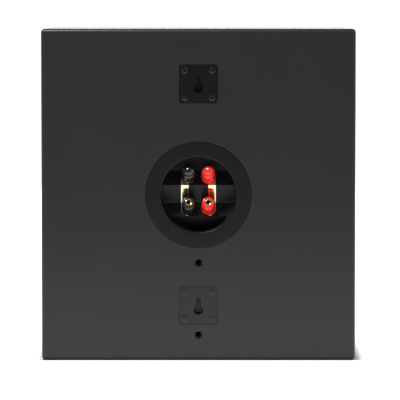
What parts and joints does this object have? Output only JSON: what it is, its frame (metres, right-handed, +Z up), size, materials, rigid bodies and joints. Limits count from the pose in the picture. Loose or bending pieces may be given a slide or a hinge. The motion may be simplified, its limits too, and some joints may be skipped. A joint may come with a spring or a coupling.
{
  "type": "bookshelf speaker",
  "caption": "Sealed bookshelf loudspeaker with a bi-wire terminal cup, gold jumper links, flush keyhole plates and threaded bracket inserts on its back.",
  "frame": {"origin": "middle of the footprint, on the underside", "axes": "+Z up; -Y out of the front baffle, so the terminals face +Y; +X is on the left when seen from behind"},
  "size_m": [0.303, 0.27, 0.32],
  "materials": {
    "cabinet": "fibreboard wrapped in smooth satin charcoal foil",
    "brace_board": "bare fibreboard",
    "foam": "open-cell damping foam",
    "black_plate": "black powder-coated steel",
    "grey_plate": "charcoal painted steel",
    "black_screws": "black oxide steel",
    "zinc_steel": "zinc-plated steel",
    "cup_plastic": "fine-textured black ABS",
    "gasket": "closed-cell foam",
    "socket_plastic": "moulded black plastic",
    "gold": "polished gold plate on brass",
    "black_cap": "glossy black plastic",
    "red_cap": "glossy clear-red plastic",
    "driver_frame": "satin black powder coat on cast alloy",
    "surround_rubber": "soft butyl rubber",
    "cone": "mica-filled polypropylene",
    "spider_cloth": "resin-stiffened cotton cloth",
    "copper": "enamelled copper wire",
    "motor_steel": "zinc-plated mild steel",
    "ferrite": "dark grey ferrite",
    "faceplate": "fine-textured black plastic",
    "dome_cloth": "coated silk",
    "board": "green lacquered fibreglass",
    "standoff": "natural nylon",
    "capacitor": "yellow film wrap",
    "resistor": "white cement case",
    "lead_sleeve": "PVC sleeve",
    "tag_strip": "brown fibre strip with tinned tabs"
  },
  "bodies": {
    "cabinet": {"front_baffle": "cabinet", "rear_panel": "cabinet", "top_panel": "cabinet", "bottom_panel": "cabinet", "side_panel_left": "cabinet", "side_panel_right": "cabinet", "window_brace": "brace_board", "damping_foam": "foam", "keyhole_plate_upper": "black_plate", "keyhole_plate_lower": "grey_plate", "keyhole_plate_screws": "black_screws", "bracket_tee_nuts": "zinc_steel", "grille_sockets": "socket_plastic", "terminal_cup": "cup_plastic", "terminal_cup_gasket": "gasket", "terminal_cup_screws": "black_screws", "post_upper_black": "gold", "post_upper_red": "gold", "post_lower_black": "gold", "post_lower_red": "gold", "post_nuts": "zinc_steel", "solder_lugs": "gold", "woofer_frame": "driver_frame", "woofer_gasket": "gasket", "woofer_screws": "black_screws", "woofer_surround": "surround_rubber", "woofer_spider": "spider_cloth", "woofer_top_plate": "motor_steel", "woofer_magnet": "ferrite", "woofer_yoke": "motor_steel", "driver_terminals": "tag_strip", "tweeter_faceplate": "faceplate", "tweeter_screws": "black_screws", "tweeter_surround": "dome_cloth", "tweeter_top_plate": "motor_steel", "tweeter_magnet": "ferrite", "tweeter_yoke": "motor_steel", "crossover_board": "board", "crossover_standoffs": "standoff", "crossover_inductors": "copper", "crossover_capacitors": "capacitor", "crossover_resistors": "resistor", "internal_leads": "lead_sleeve"},
    "upper_black_bush": {"bush_upper_black": "gold"},
    "upper_black_cap": {"cap_upper_black": "black_cap"},
    "lower_black_bush": {"bush_lower_black": "gold"},
    "lower_black_cap": {"cap_lower_black": "black_cap"},
    "upper_red_bush": {"bush_upper_red": "gold"},
    "upper_red_cap": {"cap_upper_red": "red_cap"},
    "lower_red_bush": {"bush_lower_red": "gold"},
    "lower_red_cap": {"cap_lower_red": "red_cap"},
    "black_end_plug": {"end_plug_black": "black_cap"},
    "red_end_plug": {"end_plug_red": "red_cap"},
    "black_jumper_link": {"jumper_link_black": "gold"},
    "red_jumper_link": {"jumper_link_red": "gold"},
    "woofer_moving_parts": {"woofer_cone": "cone", "woofer_dust_cap": "cone", "woofer_voice_coil": "copper"},
    "tweeter_moving_parts": {"tweeter_dome": "dome_cloth", "tweeter_voice_coil": "copper"}
  },
  "joints": [
    {"name": "upper_black_cap_travel", "type": "slide", "parent": "cabinet", "child": "upper_black_bush", "axis": [0, 0.866, 0.5], "range_m": [0, 0.007]},
    {"name": "upper_black_cap_turn", "type": "hinge", "parent": "upper_black_bush", "child": "upper_black_cap", "pos_m": [0.0095, 0.11775, 0.17525], "axis": [0, 0.866, 0.5], "range_deg": [0, 2520]},
    {"name": "lower_black_cap_travel", "type": "slide", "parent": "cabinet", "child": "lower_black_bush", "axis": [0, 0.866, 0.5], "range_m": [0, 0.007]},
    {"name": "lower_black_cap_turn", "type": "hinge", "parent": "lower_black_bush", "child": "lower_black_cap", "pos_m": [0.0095, 0.11775, 0.14475], "axis": [0, 0.866, 0.5], "range_deg": [0, 2520]},
    {"name": "upper_red_cap_travel", "type": "slide", "parent": "cabinet", "child": "upper_red_bush", "axis": [0, 0.866, 0.5], "range_m": [0, 0.007]},
    {"name": "upper_red_cap_turn", "type": "hinge", "parent": "upper_red_bush", "child": "upper_red_cap", "pos_m": [-0.0095, 0.11775, 0.17525], "axis": [0, 0.866, 0.5], "range_deg": [0, 2520]},
    {"name": "lower_red_cap_travel", "type": "slide", "parent": "cabinet", "child": "lower_red_bush", "axis": [0, 0.866, 0.5], "range_m": [0, 0.007]},
    {"name": "lower_red_cap_turn", "type": "hinge", "parent": "lower_red_bush", "child": "lower_red_cap", "pos_m": [-0.0095, 0.11775, 0.14475], "axis": [0, 0.866, 0.5], "range_deg": [0, 2520]},
    {"name": "black_plug_pull", "type": "slide", "parent": "upper_black_bush", "child": "black_end_plug", "axis": [0, 0.866, 0.5], "range_m": [0, 0.014]},
    {"name": "red_plug_pull", "type": "slide", "parent": "upper_red_bush", "child": "red_end_plug", "axis": [0, 0.866, 0.5], "range_m": [0, 0.014]},
    {"name": "black_link_pull", "type": "slide", "parent": "cabinet", "child": "black_jumper_link", "axis": [1, 0, 0], "range_m": [0, 0.012]},
    {"name": "red_link_pull", "type": "slide", "parent": "cabinet", "child": "red_jumper_link", "axis": [-1, 0, 0], "range_m": [0, 0.012]},
    {"name": "woofer_excursion", "type": "slide", "parent": "cabinet", "child": "woofer_moving_parts", "axis": [0, -1, 0], "range_m": [-0.006, 0.006], "stiffness_N_per_m": 1200, "deforming": ["woofer_surround", "woofer_spider"]},
    {"name": "tweeter_excursion", "type": "slide", "parent": "cabinet", "child": "tweeter_moving_parts", "axis": [0, -1, 0], "range_m": [-0.0003, 0.0003], "stiffness_N_per_m": 1500, "deforming": ["tweeter_surround"]}
  ],
  "couplings": [
    {"joint": "upper_black_cap_turn", "follows": "upper_black_cap_travel", "rad_per_m": 6283.2},
    {"joint": "lower_black_cap_turn", "follows": "lower_black_cap_travel", "rad_per_m": 6283.2},
    {"joint": "upper_red_cap_turn", "follows": "upper_red_cap_travel", "rad_per_m": 6283.2},
    {"joint": "lower_red_cap_turn", "follows": "lower_red_cap_travel", "rad_per_m": 6283.2}
  ]
}
